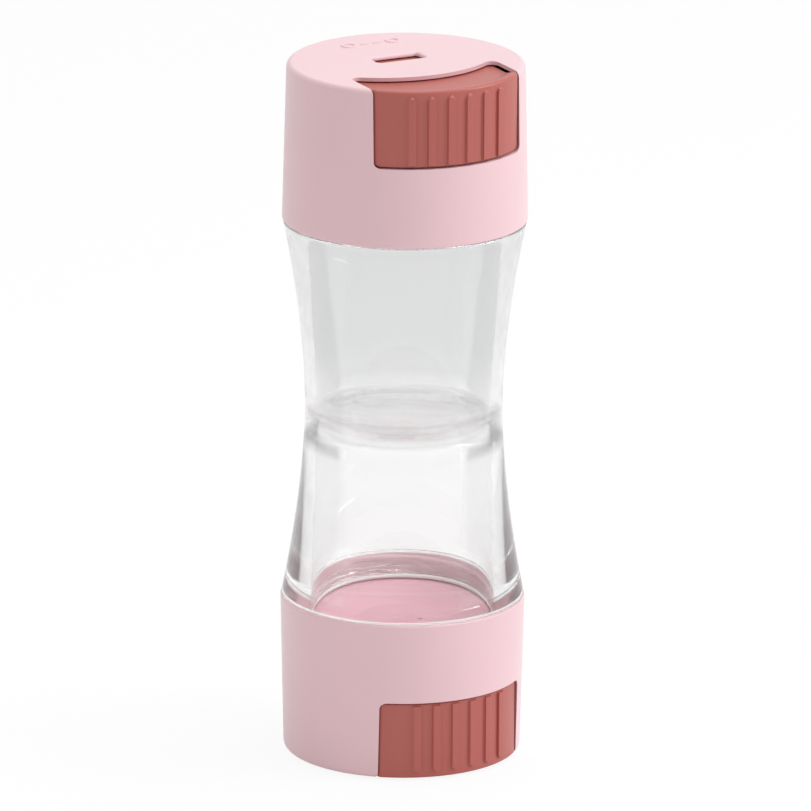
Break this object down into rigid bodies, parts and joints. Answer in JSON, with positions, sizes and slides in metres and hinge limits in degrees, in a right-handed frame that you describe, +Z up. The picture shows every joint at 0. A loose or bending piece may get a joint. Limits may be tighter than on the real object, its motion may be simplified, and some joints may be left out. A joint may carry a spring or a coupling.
{
  "type": "seasoning bottle",
  "caption": "Double-ended clear seasoning bottle with a pinched waist and pink screw caps; a ribbed press button in each cap meters a dose through a slot",
  "frame": {"origin": "centre of the lower cap's end face, on the surface that the bottle stands on", "axes": "+Z up along the bottle's axis; the upper button faces -Y"},
  "size_m": [0.058, 0.058, 0.168],
  "materials": {
    "clear_cup": "clear moulded plastic, polished",
    "cap_pink": "opaque pale pink, satin",
    "button_rose": "dusty dark rose, satin",
    "inner_pink": "opaque pale pink, satin",
    "silicone": "soft translucent white",
    "spring_steel": "bright drawn wire"
  },
  "bodies": {
    "lower_head": {"lower_cap": "cap_pink", "lower_slide_tray": "inner_pink", "lower_inner_lid": "inner_pink", "lower_spring_left": "spring_steel", "lower_spring_right": "spring_steel"},
    "lower_button": {"lower_button": "button_rose"},
    "lower_seal": {"lower_seal_ring": "silicone"},
    "lower_cup": {"lower_cup": "clear_cup"},
    "upper_cup": {"upper_cup": "clear_cup"},
    "upper_seal": {"upper_seal_ring": "silicone"},
    "upper_head": {"upper_cap": "cap_pink", "upper_slide_tray": "inner_pink", "upper_inner_lid": "inner_pink", "upper_spring_left": "spring_steel", "upper_spring_right": "spring_steel"},
    "upper_button": {"upper_button": "button_rose"}
  },
  "joints": [
    {"name": "lower_press", "type": "slide", "parent": "lower_head", "child": "lower_button", "axis": [-0.0767, 0.9971, 0], "range_m": [0, 0.0055], "stiffness_N_per_m": 300, "springref_m": -0.005, "deforming": ["lower_spring_left", "lower_spring_right"]},
    {"name": "lower_cap_turn", "type": "hinge", "parent": "lower_head", "child": "lower_seal", "pos_m": [0, 0, 0.038], "axis": [0, 0, 1], "range_deg": [0, 540]},
    {"name": "lower_cap_lift", "type": "slide", "parent": "lower_seal", "child": "lower_cup", "axis": [0, 0, 1], "range_m": [0, 0.0075]},
    {"name": "waist_twist", "type": "hinge", "parent": "lower_cup", "child": "upper_cup", "pos_m": [0, 0, 0.0832], "axis": [0, 0, 1], "range_deg": [0, 30]},
    {"name": "upper_cap_lift", "type": "slide", "parent": "upper_cup", "child": "upper_seal", "axis": [0, 0, 1], "range_m": [0, 0.0075]},
    {"name": "upper_cap_turn", "type": "hinge", "parent": "upper_seal", "child": "upper_head", "pos_m": [0, 0, 0.13], "axis": [0, 0, 1], "range_deg": [0, 540]},
    {"name": "upper_press", "type": "slide", "parent": "upper_head", "child": "upper_button", "axis": [0, 1, 0], "range_m": [0, 0.0055], "stiffness_N_per_m": 300, "springref_m": -0.005, "deforming": ["upper_spring_left", "upper_spring_right"]}
  ],
  "couplings": [
    {"joint": "lower_cap_lift", "follows": "lower_cap_turn", "m_per_rad": 0.00079577},
    {"joint": "upper_cap_lift", "follows": "upper_cap_turn", "m_per_rad": 0.00079577}
  ]
}
